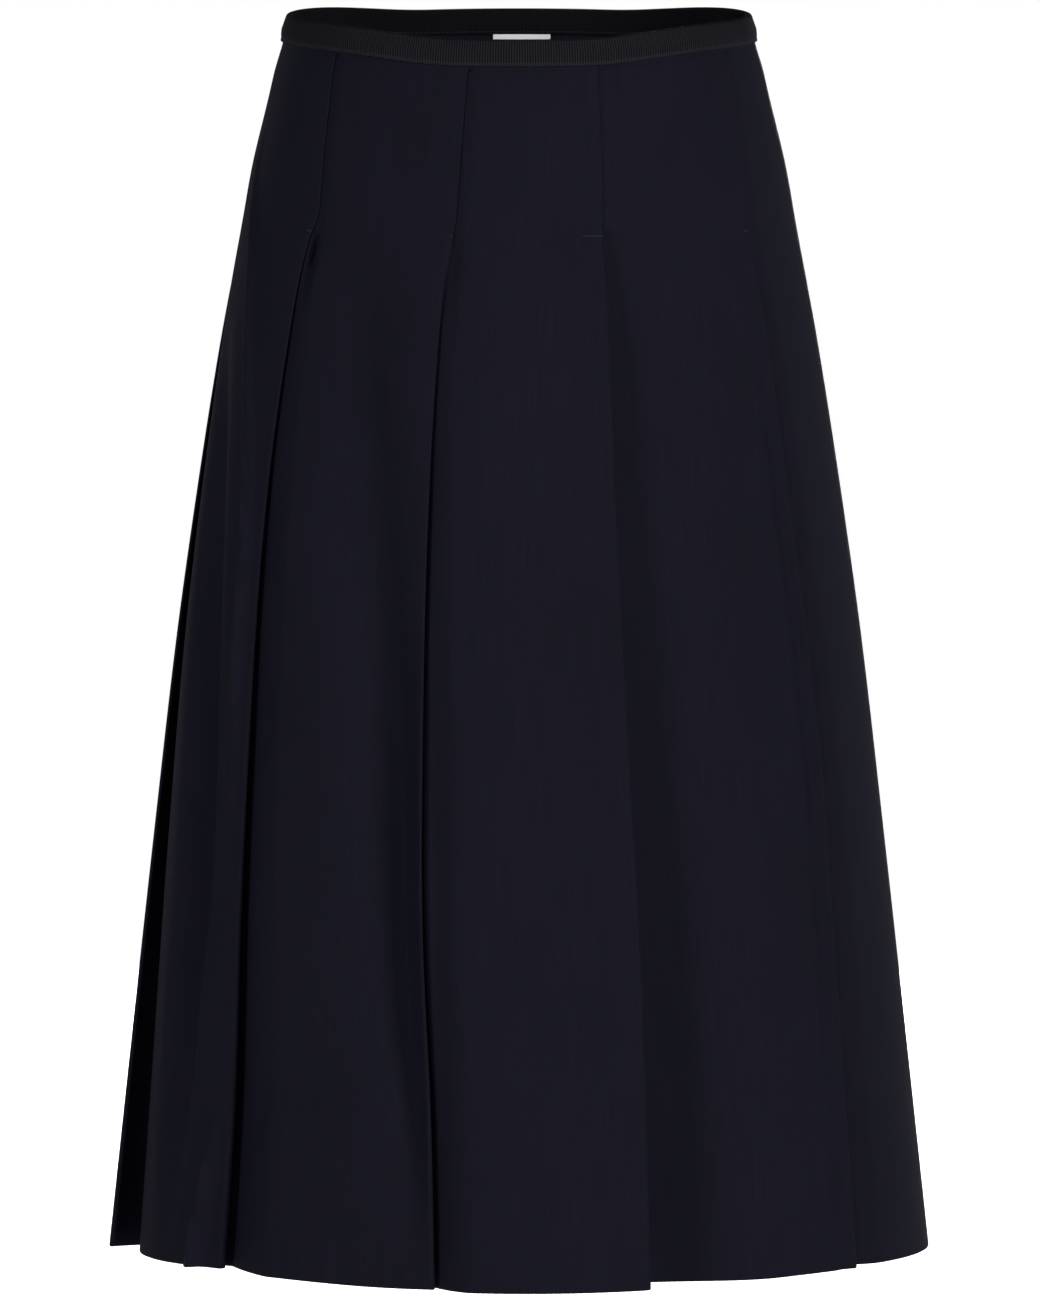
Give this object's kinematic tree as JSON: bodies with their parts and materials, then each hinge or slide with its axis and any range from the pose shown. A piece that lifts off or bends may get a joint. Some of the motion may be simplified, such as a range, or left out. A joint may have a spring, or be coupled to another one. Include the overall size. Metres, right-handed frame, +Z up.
{
  "type": "pleated midi skirt",
  "caption": "A-line midi skirt in dark wool with one-way knife pleats stitched down to the hip, a ribbon waistband and a side zip.",
  "frame": {"origin": "middle of the waist, about midway in height between the waistband's lower edge at the front and at the back", "axes": "+Z up, the front faces -Y, +X is the wearer's left"},
  "size_m": [0.4781, 0.3583, 0.7229],
  "materials": {
    "navy_wool": "smooth fine wool, very dark navy, soft low sheen",
    "black_grosgrain": "ribbed ribbon, near black",
    "white_satin": "woven satin, white, blank",
    "navy_zip_tape": "knitted zip tape, dark navy",
    "dark_enamel": "dark navy enamel on metal"
  },
  "bodies": {
    "skirt": {"skirt_front": "navy_wool", "skirt_back": "navy_wool", "waistband": "black_grosgrain", "label": "white_satin", "zip_tape": "navy_zip_tape", "zip_slider": "dark_enamel"},
    "pull": {"zip_pull": "dark_enamel"}
  },
  "joints": [
    {"name": "pull_swing", "type": "hinge", "parent": "skirt", "child": "pull", "pos_m": [0.13569, 0.0274, -0.00045], "axis": [0.3134, -0.9489, 0.0378], "range_deg": [0, 150]}
  ]
}
